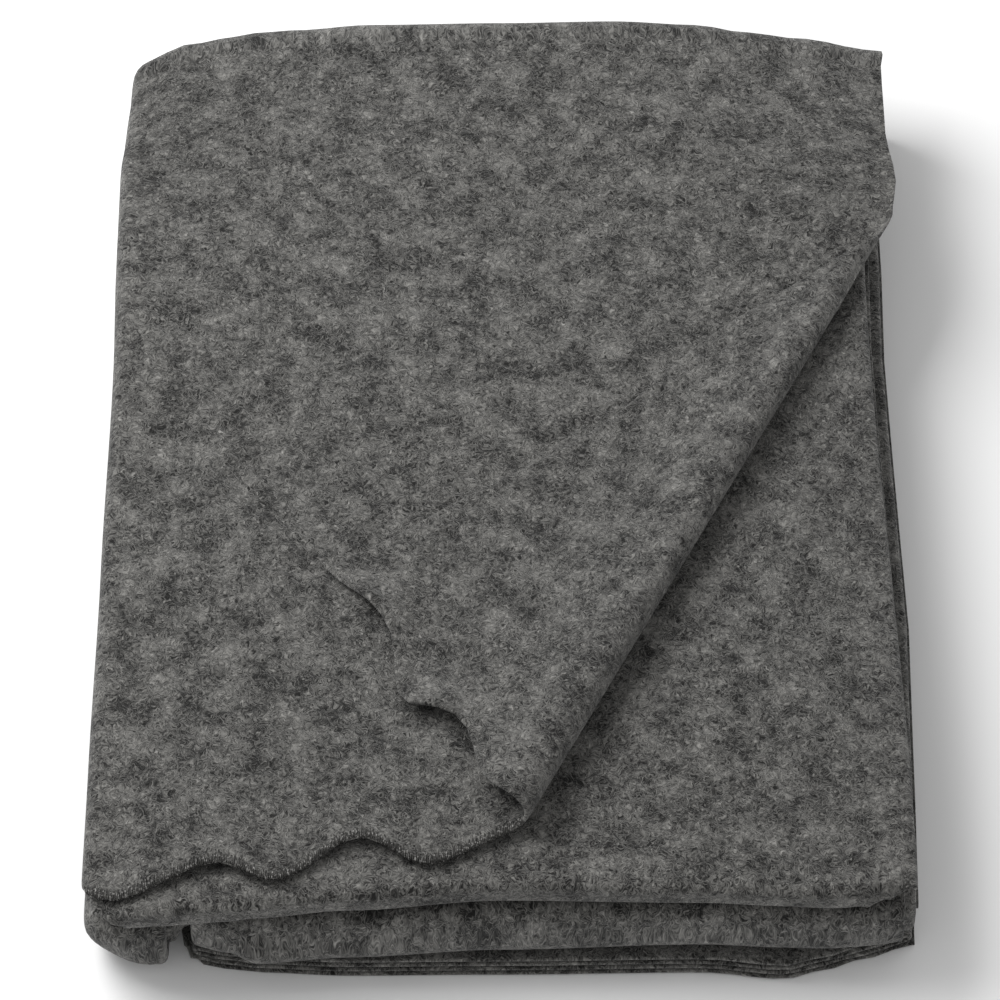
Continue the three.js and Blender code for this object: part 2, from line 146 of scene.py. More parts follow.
# Right cut edge of the top layer: how far it strays from a straight line, from front to back
SIDE_FROM = 90
SIDE = [
    {"y": -186, "out": 0},
    {"y": -142, "out": -3.5},
    {"y": -62, "out": -8.5},
    {"y": 20, "out": 2},
    {"y": 98, "out": -2.5},
    {"y": 117, "out": 1},
    {"y": 136, "out": 3},
    {"y": 170, "out": -0.5},
    {"y": 208, "out": -1},
]

# %% [markdown]
# The turned-back corner rolls over a line that runs from the right edge to the hem. Its section
# is a curl: the cloth turns a little more than half way round, then lies down on the layer that
# it came from. The other tables hold what keeps the bundle from being a neat box: a bowed back,
# a corner that leans in, a foot that tapers, corners that are rounded seen from above.

# %% Tables of the turned-back corner and of the bundle's own unevenness
ROLL_FROM, ROLL_TO = np.array([158.0, 100.0]), np.array([10.0, -188.0])
ROLL_SMALL, ROLL_LARGE = 4.5, 9.5
ROLL_OVER = math.pi + 0.36  # how far the cloth turns in the roll before it lies down
ROLL_ARC = 3.6  # length of the roll, in radii
ROLL_LIE = 12.0  # length at which the corner lies flat, in radii
LAY, LAY_FLUSH = 2.5, 1.3  # least height of the turned-back cloth over the layer under it
THIN = 0.9  # share of the thickness that is gone there
FLUSH = {"u": (26, 2), "v": (-20, 60)}  # towards its side edge it thins out and lies flush
# Places where the top layer stands off the one under it: u and v, height, reach
LIFTS = [
    {"u": 24, "v": -184, "up": 4.6, "reach": 13},
    {"u": 80, "v": -193, "up": 5.6, "reach": 13},
    {"u": 112, "v": -196, "up": 1.0, "reach": 10},
    {"u": 274, "v": -203, "up": 1.6, "reach": 16},
    {"u": 218, "v": -192, "up": 1.6, "reach": 15},
    {"u": 160, "v": -190, "up": 1.0, "reach": 14},
]
# Soft swells of the whole upper pack, which all of its layers share
SWELLS = [
    {"x": -95, "y": 80, "up": 1.3, "reach": 48},
    {"x": -40, "y": -110, "up": -1.2, "reach": 40},
    {"x": 30, "y": 120, "up": -1.2, "reach": 45},
    {"x": -110, "y": -60, "up": 0.9, "reach": 34},
    {"x": 105, "y": 150, "up": 1.0, "reach": 30},
    {"x": 110, "y": -120, "up": 1.2, "reach": 40},
]
# A crease pressed into the top layer along the side edge of the turned-back corner
CREASE = {"from": (-26, -34), "to": (50, 17), "down": 1.7, "wide": 2.0, "fade": 0.3}
# How far the back edge comes in at places across, and the sides at places along
BACK = [
    {"x": -164, "in": 22},
    {"x": -138, "in": 11.5},
    {"x": -124, "in": 8.6},
    {"x": -110, "in": 5.5},
    {"x": -91, "in": 4},
    {"x": -55, "in": 1},
    {"x": 0, "in": 0},
    {"x": 50, "in": -1},
    {"x": 84, "in": 1},
    {"x": 106, "in": 5.2},
    {"x": 128, "in": 8.5},
    {"x": 158, "in": 14},
]
BACK_REACH = (110, 212)
LEFT_SIDE = [
    {"y": -216, "in": 0.5},
    {"y": -160, "in": 1.6},
    {"y": -62, "in": 2.9},
    {"y": 39, "in": 4.2},
    {"y": 91, "in": 3.4},
    {"y": 150, "in": 3.4},
    {"y": 178, "in": 5},
    {"y": 206, "in": 6.5},
]
LEFT_FROM = (-50, -150)  # from where to where across this shift sets in
RIGHT_SIDE = [
    {"y": -216, "in": -0.4},
    {"y": -134, "in": -1.2},
    {"y": -77, "in": -1.8},
    {"y": -33, "in": 0},
    {"y": 17, "in": 1.7},
    {"y": 67, "in": 3.2},
    {"y": 90, "in": 1.4},
    {"y": 118, "in": 3.6},
    {"y": 150, "in": 3.2},
    {"y": 190, "in": 0},
]
RIGHT_FROM = (60, 160)
CORNERS = [
    {"x": -156, "y": 203, "round": 20, "share": 0.25},
    {"x": 164, "y": 212, "round": 9, "share": 0.6},
    {"x": -164, "y": -216, "round": 10, "share": 0.45},
]
# Shifts of a few millimetres, each with the stretches over which it sets in
SLANT = {"in": 10, "y": (-210, 92), "back": (140, 200), "x": (60, 160)}
TAPER = {"in": 4, "z": (25, -9), "y": (-168, -205), "x": (-131, -160)}
RECESS = {"back": 10, "z": (30, 4), "y": (-160, -200), "x": (-138, -168)}
DIP = {"down": 10, "z": (56, 24), "y": (-172, -206), "x": (-124, -130)}
DROOP = {"down": 8.4, "y": (-165, -225), "x": (-134, -160)}
MIDDLE = {"x": 1.1, "y": 0.8}  # of the box that the tables give, which is centred last


# %% Small helpers: blends, and a column of a table read between its rows
def mix(a, b, k):
    return a + (b - a) * k


def smooth(start, end, value):
    k = np.clip((value - start) / (end - start), 0, 1)
    return k * k * (3 - 2 * k)


def column(table, name, at, along="x"):
    places = np.array([row[along] for row in table], float)
    values = np.array([row[name] for row in table], float)
    k = np.clip(np.searchsorted(places, at), 1, len(places) - 1)
    return mix(values[k - 1], values[k], smooth(places[k - 1], places[k], at))


# %% [markdown]
# Across the cloth, straight runs and half turns follow each other. The function across() finds,
# for every u, where the point comes in the pack: its x, its height from the pack's middle, and
# the runs between which it lies. It works on whole arrays, because the mesh has tens of
# thousands of points and a loop over them would take minutes.

# %% Across: the pack of four layers
PARTS = []
reached = 0.0
for run, after in zip(RUNS, [*RUNS[1:], None]):
    straight = abs(run["to"] - run["from"])
    PARTS.append({"start": reached, "length": straight, "run": run, "after": run, "turn": False})
    reached += straight
    if after:
        radius = abs(after["level"] - run["level"]) * PITCH / 2
        arc = math.pi * radius
        PARTS.append({"start": reached, "length": arc, "run": run, "after": after, "turn": True,
                      "radius": radius, "side": math.copysign(1, run["to"] - run["from"])})
        reached += arc
WIDTH = reached
print("cloth across, mm:", round(WIDTH))


def across(u):
    place = {name: np.zeros(u.shape) for name in ("x", "height", "k", "at")}
    place["run"] = np.zeros(u.shape, int)
    place["after"] = np.zeros(u.shape, int)
    for number, part in enumerate(PARTS):
        here = u > part["start"] if number else np.ones(u.shape, bool)
        k = np.clip((u[here] - part["start"]) / part["length"], 0, 1)
        run, after = part["run"], part["after"]
        place["run"][here], place["after"][here] = run["run"], after["run"]
        place["k"][here] = k
        if part["turn"]:
            up = math.copysign(1, run["level"] - after["level"])
            middle = (run["level"] + after["level"]) / 2 * PITCH
            place["x"][here] = run["to"] + part["side"] * part["radius"] * np.sin(np.pi * k)
            place["height"][here] = middle + up * part["radius"] * np.cos(np.pi * k)
            place["at"][here] = run["to"]
        else:
            place["x"][here] = place["at"][here] = mix(run["from"], run["to"], k)
            place["height"][here] = run["level"] * PITCH
    return place


# %% The cloth's cut edges: the wavy hem in front, and the fronts of the layers under it
def hang_share(x):
    return smooth(*HANG_LEFT, x) * smooth(*HANG_RIGHT, x)


def front_of_run(run, x):
    reach = math.pi * LIP_ROUND + column(FRONT, "hang", x) + LIP_RETURN
    second = column(FRONT, "lip", x) - hang_share(x) * reach
    return np.where(run == TOP, column(HEM, "y", x), np.where(run == SECOND, second, INNER_FRONT))


def front_edge(u):
    place = across(u)
    before, after = (front_of_run(place[name], place["at"]) for name in ("run", "after"))
    late = np.where(place["run"] == SECOND, TURN_SHARE, 0)
    early = np.where(place["after"] == SECOND, 1 - TURN_SHARE, 1)
    return mix(before, after, smooth(late, early, place["k"]))


# %% [markdown]
# Along the cloth, passes and bends follow each other. The outer layers of a bend have a larger
# radius than the inner ones, so a layer's height in the pack is added to the bend's radius. The
# bends are a little square, as a pressed fold is, which a power of the sine and cosine gives.

# %% Along: four passes of the pack, back and forth
WAY = [{"pass": 0, "start": -1e9, "end": BENDS[0]["at"], "from": BENDS[0]["at"], "toward": 1}]
reached = BENDS[0]["at"]
for number, bend in enumerate(BENDS):
    radius = (PASSES[number]["middle"] - PASSES[number + 1]["middle"]) / 2
    WAY.append({"pass": number, "bend": bend, "radius": radius,
                "start": reached, "end": reached + math.pi * radius})
    reached += math.pi * radius
    last = number == len(BENDS) - 1
    straight = 1e9 if last else abs(BENDS[number + 1]["at"] - bend["at"])
    WAY.append({"pass": number + 1, "start": reached, "end": reached + straight,
                "from": bend["at"], "toward": -bend["side"]})
    reached += 0 if last else straight


def end_edge(u):
    return WAY[-1]["start"] + WAY[-1]["from"] - column(FRONT, "base", across(u)["x"])


def along(v, height):
    y, z, which = np.zeros(v.shape), np.zeros(v.shape), np.zeros(v.shape, int)
    for number, way in enumerate(WAY):
        here = (v > way["start"]) & (v <= way["end"])
        level = PASSES[way["pass"]]
        which[here] = number
        if "bend" in way:
            after, bend = PASSES[way["pass"] + 1], way["bend"]
            k = (v[here] - way["start"]) / (way["end"] - way["start"])
            radius = way["radius"] + level["up"] * height[here] * mix(level["spread"], after["spread"], k)
            power = 2 / bend["square"]
            c, s = np.cos(np.pi * k), np.sin(np.pi * k)
            z[here] = (level["middle"] + after["middle"]) / 2 + radius * np.sign(c) * np.abs(c) ** power
            y[here] = bend["at"] + bend["side"] * radius * np.abs(s) ** power
        else:
            zero = way["start"] if way["pass"] else way["end"]
            z[here] = level["middle"] + level["up"] * level["spread"] * height[here]
            y[here] = way["from"] + way["toward"] * (v[here] - zero)
    return y, z, which


def hang_down(reach, share, hang):
    quarter = math.pi / 2 * LIP_ROUND
    steps = HANG_STEPS
    back, down = np.zeros(reach.shape), np.zeros(reach.shape)
    for k in range(steps):
        at = reach * (k + 0.5) / steps
        turned = np.clip(at / quarter, 0, 1) + np.clip((at - quarter - hang) / quarter, 0, 1)
        angle = math.pi / 2 * share * turned
        back += np.cos(angle) * reach / steps
        down += np.sin(angle) * reach / steps
    return back, down


# %% [markdown]
# The turned-back corner is not laid flat on the layer under it: real fleece springs up in a roll
# there. Its section is found by walking along the cloth in small steps while the direction turns,
# first up and over, then slowly to the horizontal. That gives one curl for a radius of one, which
# is then scaled with the radius that the roll has at each place along it.

# %% The curl of the turned-back corner, for a radius of one, and how a point is carried by it
CURL_STEP, CURL_STEPS = 0.05, 1200
CURL_EASE = (-0.6, 0.3)  # how far outside the roll its turning starts and ends, in radii
curl_at = (np.arange(1, CURL_STEPS) - 0.5) * CURL_STEP
curl_turn = ROLL_OVER * smooth(CURL_EASE[0], ROLL_ARC + CURL_EASE[1], curl_at)
curl_turn = np.where(curl_at < ROLL_ARC, curl_turn,
                     mix(ROLL_OVER, math.pi, smooth(ROLL_ARC, ROLL_LIE, curl_at)))
CURL_OUT = np.concatenate([[0], np.cumsum(np.cos(curl_turn) * CURL_STEP)])
CURL_UP = np.concatenate([[0], np.cumsum(np.sin(curl_turn) * CURL_STEP)])
ROLL_RUN = float(np.hypot(*(ROLL_TO - ROLL_FROM)))
ROLL_ALONG = (ROLL_TO - ROLL_FROM) / ROLL_RUN
ROLL_OUT = np.array([-ROLL_ALONG[1], ROLL_ALONG[0]])
print("roll, mm long:", round(ROLL_RUN), "and it turns", round(math.degrees(ROLL_OVER)), "degrees")


def roll_radius(t):
    return mix(ROLL_SMALL, ROLL_LARGE, t / ROLL_RUN)


def roll_place(x, y):
    t = (x - ROLL_FROM[0]) * ROLL_ALONG[0] + (y - ROLL_FROM[1]) * ROLL_ALONG[1]
    s = (x - ROLL_FROM[0]) * ROLL_OUT[0] + (y - ROLL_FROM[1]) * ROLL_OUT[1] + roll_radius(t)
    return t, s


def flush(u, v):
    return smooth(*FLUSH["u"], u) * smooth(*FLUSH["v"], v)


def turn_back(x, y, z, u, v):
    t, s = roll_place(x, y)
    radius = np.maximum(roll_radius(t), ROLL_SMALL)
    s = np.maximum(s, 0)
    at = np.arange(len(CURL_OUT)) * CURL_STEP
    out = np.interp(s / radius, at, CURL_OUT) * radius
    up = np.interp(s / radius, at, CURL_UP) * radius
    least = mix(LAY, LAY_FLUSH, flush(u, v))
    lift = np.maximum(up, least * smooth(ROLL_ARC, ROLL_LIE, s / radius))
    return x + ROLL_OUT[0] * (out - s), y + ROLL_OUT[1] * (out - s), z + lift


# %% [markdown]
# A folded throw is never a neat box. Its corners are rounded seen from above, its sides step in
# and out, the upper layers slant, the front left corner droops and the foot draws in. Each of
# these is a small shift of the folded points, which sets in smoothly over a stretch that the
# tables name. Moving points is better here than sculpting, since it keeps all layers apart.

# %% The bundle's own unevenness
def settle(x, y, z, first, top, lowest):
    px, py, pz = x.copy(), y.copy(), z.copy()
    slant = smooth(*SLANT["y"], y) * (1 - smooth(*SLANT["back"], y))
    px -= np.where(first & ~top, SLANT["in"] * slant * smooth(*SLANT["x"], x), 0)
    py -= column(BACK, "in", x) * smooth(*BACK_REACH, y)
    px += column(LEFT_SIDE, "in", y, along="y") * smooth(*LEFT_FROM, x)
    px -= np.where(first, 0, column(RIGHT_SIDE, "in", y, along="y") * smooth(*RIGHT_FROM, x))
    dip = DIP["down"] * smooth(*DIP["z"], z) * smooth(*DIP["y"], y) * smooth(*DIP["x"], x)
    droop = DROOP["down"] * smooth(*DROOP["y"], y) * smooth(*DROOP["x"], x)
    pz -= np.where(first, droop, np.where(lowest, 0, dip))
    px += TAPER["in"] * smooth(*TAPER["z"], pz) * smooth(*TAPER["y"], y) * smooth(*TAPER["x"], x)
    py += RECESS["back"] * smooth(*RECESS["z"], pz) * smooth(*RECESS["y"], y) * smooth(*RECESS["x"], x)
    for corner in CORNERS:
        sx, sy, reach = math.copysign(1, corner["x"]), math.copysign(1, corner["y"]), corner["round"]
        a = np.clip((sx * (px - corner["x"]) + reach) / reach, 0, 1)
        b = np.clip((sy * (py - corner["y"]) + reach) / reach, 0, 1)
        size = reach * corner["share"]
        px, py = (px - sx * size * a * (1 - np.sqrt(1 - b * b / 2)),
                  py - sy * size * b * (1 - np.sqrt(1 - a * a / 2)))
    return px, py, pz


# %% [markdown]
# The top layer stands off a little at the lobes of its hem, where a dark gap shows under it, and
# the whole pack swells and sinks softly. Round hills with a bell-shaped section do for both. The
# side edge of the turned-back corner presses a fine crease into the layer below.

# %% Lifts, swells and the pressed crease, as heights over a smooth top
def bumps(table, first_name, first, second_name, second):
    height = 0.0
    for place in table:
        far = np.hypot(first - place[first_name], second - place[second_name]) / place["reach"]
        height = height + place["up"] * np.exp(-far * far)
    return height


def pressed(x, y):
    start, run = np.array(CREASE["from"]), np.subtract(CREASE["to"], CREASE["from"])
    length = float(np.hypot(*run))
    along_it = ((x - start[0]) * run[0] + (y - start[1]) * run[1]) / length ** 2
    off = ((x - start[0]) * run[1] - (y - start[1]) * run[0]) / length / CREASE["wide"]
    ends = smooth(0, CREASE["fade"], along_it) * smooth(1, 1 - CREASE["fade"], along_it)
    return CREASE["down"] * ends * np.exp(-off * off)


# %% [markdown]
# Now the parts come together in one formula. It takes a point of the flat cloth through the pack,
# the passes, the hanging front, the lifts, the unevenness and the roll, in this order, and gives
# its place in the bundle. Both the cloth and the thread on its hem use it.

# %% The whole fold: where each point of the flat cloth lies in the bundle
def folded(u, v):
    place = across(u)
    y, z, which = along(v, place["height"])
    straight_run = place["run"] == place["after"]
    first = which == 0
    lip = column(FRONT, "lip", place["x"]) + LIP_ROUND
    hangs = straight_run & (place["run"] == SECOND) & first & (v < lip)
    share = smooth(0, FULL_TURN, hang_share(place["x"]))
    back, down = hang_down(np.maximum(lip - v, 0), share, column(FRONT, "hang", place["x"]))
    y = np.where(hangs, lip - back, y)
    z = np.where(hangs, z - down, z)
    passes = np.array([way["pass"] for way in WAY])[which]
    fold = column(FRONT, "fold", place["x"]) * smooth(*FOLD_REACH, y)
    toe = column(FRONT, "toe", place["x"]) * smooth(*TOE_REACH["y"], y) * smooth(*TOE_REACH["z"], z)
    y = y + np.where((passes > 0) & (passes < 3), fold - toe, 0)
    top = straight_run & (place["run"] == TOP)
    stray = column(SIDE, "out", y, along="y") * smooth(SIDE_FROM, RIGHT, place["x"])
    x = place["x"] + np.where(top & first, stray, 0)
    on_top = top & first
    z = z + np.where(on_top, bumps(LIFTS, "u", u, "v", v) - pressed(x, y), 0)
    z = z + np.where(first, bumps(SWELLS, "x", x, "y", y), 0)
    x, y, z = settle(x, y, z, first, top, passes == 3)
    turned = turn_back(x, y, z, u, v)
    x, y, z = (np.where(on_top, new, old) for new, old in zip(turned, (x, y, z)))
    return x - MIDDLE["x"], y - MIDDLE["y"], z


# %% [markdown]
# The flat cloth as a mesh. Lines across and along it are close where it bends and wide apart in
# the hidden passes, because the piece has a budget of faces. The top layer shows most, so its
# cells are subdivided, and it is cut along lines of the roll so that it curls on its edges and
# not across them. All of this happens on the flat cloth, where it is easy.

# %% Lines of the flat cloth
RIM_ROWS = [0, 0.3, 0.8, 1.6]  # from a cut edge, where it is rounded
FRONT_STEPS = 14  # over the stretch that hangs down in front
RUN_STEP = {TOP: 8, TUCK: 5, TUCK_BACK: 5, SECOND: 8, THIRD: 9, FOURTH: 9}
FINE_LEFT, FINE_STEP = -84, 3.2  # left end of the big fold, where its small pleats are
STEADY_Y = -160  # front of the lines that go straight across the first pass
FIRST_STEP = 10.5
FRONT_DEEP, FRONT_CLEAR, FRONT_ROWS = 9, 1, 4  # the stretch behind the hem, and the rows after it
END_CLEAR = 4  # from a row to the cloth's far edge
HIDDEN_Y = [190, 150, 105, 60, 15, -30, -75, -110, -135, -155, -166, -175, -183, -190, -197]


def lines_across():
    lines = list(RIM_ROWS)
    for part in PARTS:
        if part["turn"]:
            steps = 8 if part["radius"] > PITCH else 6
            lines += list(part["start"] + part["length"] * np.arange(steps + 1) / steps)
            continue
        run = part["run"]
        low, high = sorted((run["from"], run["to"]))
        fine_end = max(low, FINE_LEFT) if run["run"] in (THIRD, FOURTH, SECOND) else low
        places = np.linspace(low, fine_end, 1 + round((fine_end - low) / FINE_STEP))
        rest = np.linspace(fine_end, high, 1 + round((high - fine_end) / RUN_STEP[run["run"]]))
        places = np.concatenate([places[:-1], rest])
        lines += list(part["start"] + np.abs(places - run["from"]))
    lines = sorted(set(np.round(lines, 3)))
    wide = [u for u in lines if RIM_ROWS[-1] + 1 < u < WIDTH - RIM_ROWS[-1] - 1]
    return np.array([*RIM_ROWS, *wide, *(WIDTH - row for row in reversed(RIM_ROWS))])


def lines_along(us):
    front, end = front_edge(us), end_edge(us)
    lip = column(FRONT, "lip", across(us)["x"]) + LIP_ROUND
    inner = np.maximum(front + FRONT_DEEP, lip + FRONT_CLEAR)
    rows = [front + row for row in RIM_ROWS[:-1]]
    rows += [mix(front + RIM_ROWS[-1], inner, k / FRONT_STEPS) for k in range(FRONT_STEPS + 1)]
    rows += [mix(inner, STEADY_Y, k / FRONT_ROWS) for k in range(1, FRONT_ROWS)]
    same = np.ones(us.shape)
    count = round((BENDS[0]["at"] - STEADY_Y) / FIRST_STEP)
    rows += [same * y for y in np.linspace(STEADY_Y, BENDS[0]["at"], count + 1)]
    for number, way in enumerate(WAY[1:], start=1):
        if "bend" in way:
            steps = way["bend"]["steps"]
            rows += [same * mix(way["start"], way["end"], k / steps) for k in range(1, steps + 1)]
        else:
            vs = sorted(way["start"] + way["toward"] * (y - way["from"]) for y in HIDDEN_Y)
            last = number == len(WAY) - 1
            rows += [same * v for v in vs if not last or v < end.min() - END_CLEAR]
            rows += [] if last else [same * way["end"]]
    return np.array([*rows, *(end - row for row in reversed(RIM_ROWS))])


us = lines_across()
vs = lines_along(us)
print("lines across and along:", vs.shape[1], vs.shape[0])

# %% The flat cloth: a grid, with the top layer subdivided and cut along the roll
flat = bmesh.new()
grid = [[flat.verts.new((u, v, 0)) for u, v in zip(us, row)] for row in vs]
for lower_row, upper_row in zip(grid, grid[1:]):
    for k in range(len(us) - 1):
        flat.faces.new((lower_row[k], lower_row[k + 1], upper_row[k + 1], upper_row[k]))
TOP_END = PARTS[0]["length"]
WIDE_CELL = 20  # length round a cell of the top layer from which it is subdivided
HEM_EDGE = 5  # length across of the edges that are subdivided along the hem
ROLL_CUTS = np.linspace(0, ROLL_ARC, 11)
CUT_NEAR = 0.35  # a cut this near to a point goes through it


def top_faces(least):
    found = []
    for face in flat.faces:
        u, v = face.calc_center_median().xy
        if u < TOP_END and v < BENDS[0]["at"] and face.calc_perimeter() > least:
            found.append(face)
    return found


wide = [face for face in top_faces(WIDE_CELL) if face.calc_center_median().x > RIM_ROWS[-1]]
narrow = [face for face in top_faces(0) if face.calc_center_median().y < STEADY_Y]
hem_edges = {edge for face in narrow for edge in face.edges
             if abs(edge.verts[0].co.x - edge.verts[1].co.x) > HEM_EDGE}
edges = list({edge for face in wide for edge in face.edges} | hem_edges)
bmesh.ops.subdivide_edges(flat, edges=edges, cuts=2, use_grid_fill=True)
for at in ROLL_CUTS:
    ends = []
    for t in (0.0, ROLL_RUN):
        s = (at - 1) * roll_radius(t)
        x, y = ROLL_FROM + ROLL_ALONG * t + ROLL_OUT * s
        ends.append(Vector((RIGHT - x, y, 0)))
    direction = ends[1] - ends[0]
    faces = top_faces(0)
    near = list({*faces, *(e for f in faces for e in f.edges), *(v for f in faces for v in f.verts)})
    bmesh.ops.bisect_plane(flat, geom=near, dist=CUT_NEAR, plane_co=ends[0],
                           plane_no=Vector((-direction.y, direction.x, 0)))
many_sided = [face for face in flat.faces if len(face.verts) > 4]
bmesh.ops.triangulate(flat, faces=many_sided)
print("flat cloth:", len(flat.verts), "points,", len(flat.faces), "faces")

# %% [markdown]
# Folding is now one line: every point's u and v go through the formula. The flat place of each
# point is kept as an attribute, because the felt's mottling belongs to the cloth and has to run
# on over its folds. Thickness comes last, as a Solidify modifier, thinner at the cut edges so
# that they are soft and round.

# %% Fold the cloth and give it its thickness
EDGE_SHARE = 0.35  # of the thickness that the cut edges keep
FULLNESS_STEPS = 10
mesh = bpy.data.meshes.new("throw_fleece")
flat.to_mesh(mesh)
flat.free()
places = np.zeros(len(mesh.vertices) * 3)
mesh.vertices.foreach_get("co", places)
cloth_u, cloth_v = places.reshape(-1, 3)[:, 0], places.reshape(-1, 3)[:, 1]
spots = np.stack(folded(cloth_u, cloth_v), axis=1) * MM
mesh.vertices.foreach_set("co", spots.ravel())
kept = mesh.attributes.new("flat", "FLOAT_VECTOR", "POINT")
kept.data.foreach_set("vector", (np.stack([cloth_u, cloth_v, 0 * cloth_u], axis=1) * MM).ravel())
mesh.update()
fleece = bpy.data.objects.new("throw_fleece", mesh)
bpy.context.scene.collection.objects.link(fleece)

from_edge = np.minimum.reduce([cloth_u, WIDTH - cloth_u,
                               cloth_v - front_edge(cloth_u), end_edge(cloth_u) - cloth_v])
share = np.clip(from_edge / RIM_ROWS[-1], 0, 1)
fullness = np.sqrt(1 - (1 - share) ** 2) * (1 - THIN * flush(cloth_u, cloth_v))
group = fleece.vertex_groups.new(name="fullness")
for k in range(FULLNESS_STEPS + 1):
    members = np.nonzero(np.round(fullness * FULLNESS_STEPS) == k)[0]
    group.add([int(i) for i in members], k / FULLNESS_STEPS, "REPLACE")
bpy.ops.object.select_all(action="DESELECT")
fleece.select_set(True)
bpy.context.view_layer.objects.active = fleece
thicken = fleece.modifiers.new("thickness", "SOLIDIFY")
thicken.thickness = CLOTH * MM
thicken.offset = 0
thicken.vertex_group = "fullness"
thicken.thickness_vertex_group = EDGE_SHARE
bpy.ops.object.modifier_apply(modifier=thicken.name)
for polygon in fleece.data.polygons:
    polygon.use_smooth = True
fleece.data.update()
triangles = sum(len(polygon.vertices) - 2 for polygon in fleece.data.polygons)
print("fleece:", triangles, "triangles")

# %% [markdown]
# The felt. Fleece that has been felted shows light and dark fibres of about half a millimetre,
# bent every way, and soft clouds where more of one kind lie. The clouds are one noise with many
# octaves. The fibres are four more noises, each stretched along a direction of its own and bent
# by a warp, so that its light spots are short curls. The lightest of the four shows at each
# place, as the topmost fibre does. All of it is a function of the flat cloth, so the pattern runs
# round every fold as it does on real cloth. The fibres also drive a fine relief.

# %% Nodes of a material, made by short calls
class Tree:
    def __init__(self, name):
        self.material = bpy.data.materials.new(name)
        self.material.use_nodes = True
        self.nodes = self.material.node_tree.nodes
        self.links = self.material.node_tree.links
        self.shader = self.nodes["Principled BSDF"]

    def put(self, socket, value):
        if isinstance(value, bpy.types.NodeSocket):
            self.links.new(value, socket)
        else:
            socket.default_value = value

    def math(self, kind, *values, clamp=False):
        made = self.nodes.new("ShaderNodeMath")
        made.operation, made.use_clamp = kind, clamp
        for socket, value in zip(made.inputs, values):
            self.put(socket, value)
        return made.outputs[0]

    def vector(self, kind, *values):
        made = self.nodes.new("ShaderNodeVectorMath")
        made.operation = kind
        for socket, value in zip(made.inputs, values):
            self.put(socket, value)
        return made.outputs[0]

    def turned(self, vector, angle):
        made = self.nodes.new("ShaderNodeVectorRotate")
        made.rotation_type = "Z_AXIS"
        self.put(made.inputs["Vector"], vector)
        made.inputs["Angle"].default_value = angle
        return made.outputs[0]

    def noise(self, vector, scale, detail=2.0, roughness=0.5):
        made = self.nodes.new("ShaderNodeTexNoise")
        self.put(made.inputs["Vector"], vector)
        made.inputs["Scale"].default_value = scale
        made.inputs["Detail"].default_value = detail
        made.inputs["Roughness"].default_value = roughness
        return made.outputs

    def between(self, value, low, high):
        made = self.nodes.new("ShaderNodeMapRange")
        made.interpolation_type = "SMOOTHSTEP"
        self.put(made.inputs["Value"], value)
        made.inputs["From Min"].default_value = low
        made.inputs["From Max"].default_value = high
        return made.outputs[0]

    def blend(self, factor, dark, light):
        made = self.nodes.new("ShaderNodeMix")
        made.data_type = "RGBA"
        self.put(made.inputs["Factor"], factor)
        made.inputs[6].default_value = (*dark, 1)
        made.inputs[7].default_value = (*light, 1)
        return made.outputs[2]


# %% The felt's pattern and colour
FIBRE_DARK, FIBRE_LIGHT = (0.009, 0.0088, 0.0082), (0.292, 0.286, 0.270)
FIBRE_ACROSS, FIBRE_ALONG = 1.75, 0.36  # noise cells per millimetre across and along a fibre
FIBRE_ANGLES = (0.2, 1.0, 1.75, 2.6)
FIBRE_APART = (31.0, 17.0, 5.0)  # shift from one fibre noise to the next, so that no two agree
FIBRE_ZERO = 0.60  # about the middle of the lightest of four noises
WARP_CELLS, WARP_REACH = 0.26, 7.0  # per millimetre, and in millimetres
FIBRE_SHOW, CLOUD_SHOW, CLOUD_SIZE, CLOUD_OCTAVES = 2.5, 1.75, 14.0, 5.0
FELT_TONE = 0.285
RELIEF_DEPTH = 0.75  # of the bump, in millimetres
felt = Tree("fleece")
place = felt.nodes.new("ShaderNodeAttribute")
place.attribute_name = "flat"
flat_mm = felt.vector("SCALE", place.outputs["Vector"])
flat_mm.node.inputs["Scale"].default_value = 1 / MM
bend = felt.vector("SUBTRACT", felt.noise(flat_mm, WARP_CELLS, 1.0)["Color"], (0.5, 0.5, 0.5))
bend = felt.vector("MULTIPLY", bend, (WARP_REACH, WARP_REACH, 0.0))
bent = felt.vector("ADD", flat_mm, bend)
fibres = 0.0
for number, angle in enumerate(FIBRE_ANGLES):
    line = felt.vector("MULTIPLY", felt.turned(bent, angle), (FIBRE_ACROSS, FIBRE_ALONG, 1.0))
    line = felt.vector("ADD", line, tuple(number * c for c in FIBRE_APART))
    lit = felt.noise(line, 1.0, 1.0, 0.6)["Fac"]
    fibres = lit if number == 0 else felt.math("MAXIMUM", fibres, lit)
fibres = felt.math("MULTIPLY", felt.math("SUBTRACT", fibres, FIBRE_ZERO), FIBRE_SHOW)
clouds = felt.noise(flat_mm, 1 / CLOUD_SIZE, CLOUD_OCTAVES, 0.8)["Fac"]
clouds = felt.math("MULTIPLY", felt.math("SUBTRACT", clouds, 0.5), CLOUD_SHOW)
tone = felt.math("ADD", felt.math("ADD", clouds, FELT_TONE), fibres, clamp=True)
felt.put(felt.shader.inputs["Base Color"], felt.blend(tone, FIBRE_DARK, FIBRE_LIGHT))
felt.shader.inputs["Roughness"].default_value = 0.97
felt.shader.inputs["Specular IOR Level"].default_value = 0.15
felt.shader.inputs["Sheen Weight"].default_value = 0.2
felt.shader.inputs["Sheen Roughness"].default_value = 0.5
relief = felt.nodes.new("ShaderNodeBump")
relief.inputs["Strength"].default_value = 0.8
relief.inputs["Distance"].default_value = RELIEF_DEPTH * MM
felt.put(relief.inputs["Height"], fibres)
felt.put(felt.shader.inputs["Normal"], relief.outputs["Normal"])
fleece.data.materials.append(felt.material)
